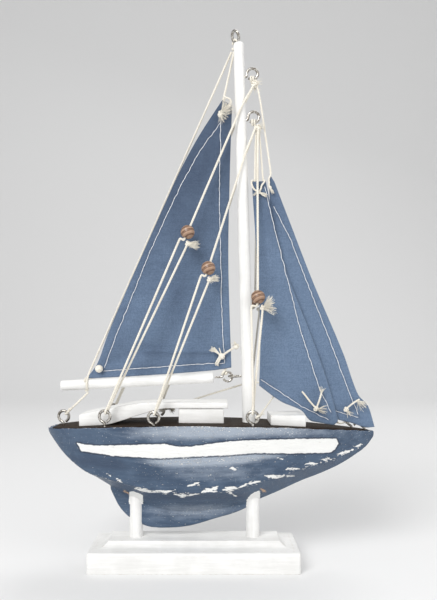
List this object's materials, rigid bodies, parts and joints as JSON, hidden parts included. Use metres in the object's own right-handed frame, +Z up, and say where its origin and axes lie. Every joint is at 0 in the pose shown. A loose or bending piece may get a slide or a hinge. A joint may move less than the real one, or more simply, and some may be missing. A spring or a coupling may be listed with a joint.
{
  "type": "model sailing ship",
  "caption": "Small wooden yacht model with cloth mainsail and two jibs, beaded string rigging and screw eyes, on a plinth with two posts.",
  "frame": {"origin": "centre of the underside of the stand's base plinth", "axes": "+Z up the mast, +X towards the bow, +Y to port"},
  "size_m": [0.14, 0.034, 0.2292],
  "materials": {
    "white_paint": "white painted wood, satin",
    "blue_hull_paint": "dusty blue brushed paint over white, worn along the edges",
    "stained_deck": "brown stain on bare wood",
    "plated_steel": "nickel-plated wire",
    "cotton_string": "twisted cream cotton",
    "striped_bead": "turned brown wood with darker stripes, waxed",
    "sail_cloth": "plain-woven blue cotton with white stitching"
  },
  "bodies": {
    "ship": {"base_plinth": "white_paint", "stand_post_aft": "white_paint", "stand_post_fore": "white_paint", "cabin_block": "white_paint", "cabin_roof": "white_paint", "fore_hatch": "white_paint", "mast": "white_paint", "hull": "blue_hull_paint", "deck_board": "stained_deck", "mast_top_eye": "plated_steel", "mast_eye_upper": "plated_steel", "mast_eye_lower": "plated_steel", "mast_gooseneck_eye": "plated_steel", "stern_eye": "plated_steel", "deck_eye_aft_starboard": "plated_steel", "deck_eye_aft_port": "plated_steel", "deck_eye_mid_starboard": "plated_steel", "deck_eye_mid_port": "plated_steel", "deck_eye_fore_starboard": "plated_steel", "deck_eye_fore_port": "plated_steel", "bow_eye": "plated_steel", "bow_tip_eye": "plated_steel", "masthead_knot_top": "cotton_string", "masthead_knot_upper": "cotton_string", "masthead_knot_lower": "cotton_string", "backstay_lower": "cotton_string", "jib_inner_halyard": "cotton_string", "jib_outer_halyard": "cotton_string", "jib_outer_sheet": "cotton_string", "jib_inner_sheet": "cotton_string", "jib_inner_tack_tie": "cotton_string", "jib_outer_tack_tie": "cotton_string", "shroud_aft_starboard": "cotton_string", "shroud_aft_port": "cotton_string", "shroud_mid_starboard": "cotton_string", "shroud_mid_port": "cotton_string", "shroud_fore_starboard": "cotton_string", "shroud_fore_port": "cotton_string", "jib_inner": "sail_cloth", "jib_outer": "sail_cloth"},
    "boom_and_mainsail": {"boom": "white_paint", "boom_eye": "plated_steel", "mainsail": "sail_cloth", "main_halyard": "cotton_string", "backstay_upper": "cotton_string", "clew_lashing": "cotton_string", "tack_lashing": "cotton_string"},
    "bead_aft_starboard_body": {"bead_aft_starboard": "striped_bead"},
    "bead_aft_port_body": {"bead_aft_port": "striped_bead"},
    "bead_mid_starboard_body": {"bead_mid_starboard": "striped_bead"},
    "bead_mid_port_body": {"bead_mid_port": "striped_bead"},
    "bead_fore_starboard_body": {"bead_fore_starboard": "striped_bead"},
    "bead_fore_port_body": {"bead_fore_port": "striped_bead"}
  },
  "joints": [
    {"name": "boom_swing", "type": "hinge", "parent": "ship", "child": "boom_and_mainsail", "pos_m": [0.01558, 0, 0.0801], "axis": [0.0114, 0.0273, 0.9996], "range_deg": [-6, 6], "stiffness_Nm_per_rad": 0.0005, "deforming": ["backstay_lower"]},
    {"name": "bead_aft_starboard_slide", "type": "slide", "parent": "ship", "child": "bead_aft_starboard_body", "axis": [0.386, 0.0628, 0.9204], "range_m": [0, 0.012]},
    {"name": "bead_aft_port_slide", "type": "slide", "parent": "ship", "child": "bead_aft_port_body", "axis": [0.386, -0.0628, 0.9204], "range_m": [0, 0.012]},
    {"name": "bead_mid_starboard_slide", "type": "slide", "parent": "ship", "child": "bead_mid_starboard_body", "axis": [0.3025, 0.0869, 0.9492], "range_m": [0, 0.012]},
    {"name": "bead_mid_port_slide", "type": "slide", "parent": "ship", "child": "bead_mid_port_body", "axis": [0.3025, -0.0869, 0.9492], "range_m": [0, 0.012]},
    {"name": "bead_fore_starboard_slide", "type": "slide", "parent": "ship", "child": "bead_fore_starboard_body", "axis": [0.0028, 0.1043, 0.9945], "range_m": [0, 0.012]},
    {"name": "bead_fore_port_slide", "type": "slide", "parent": "ship", "child": "bead_fore_port_body", "axis": [0.0028, -0.1043, 0.9945], "range_m": [0, 0.012]}
  ]
}
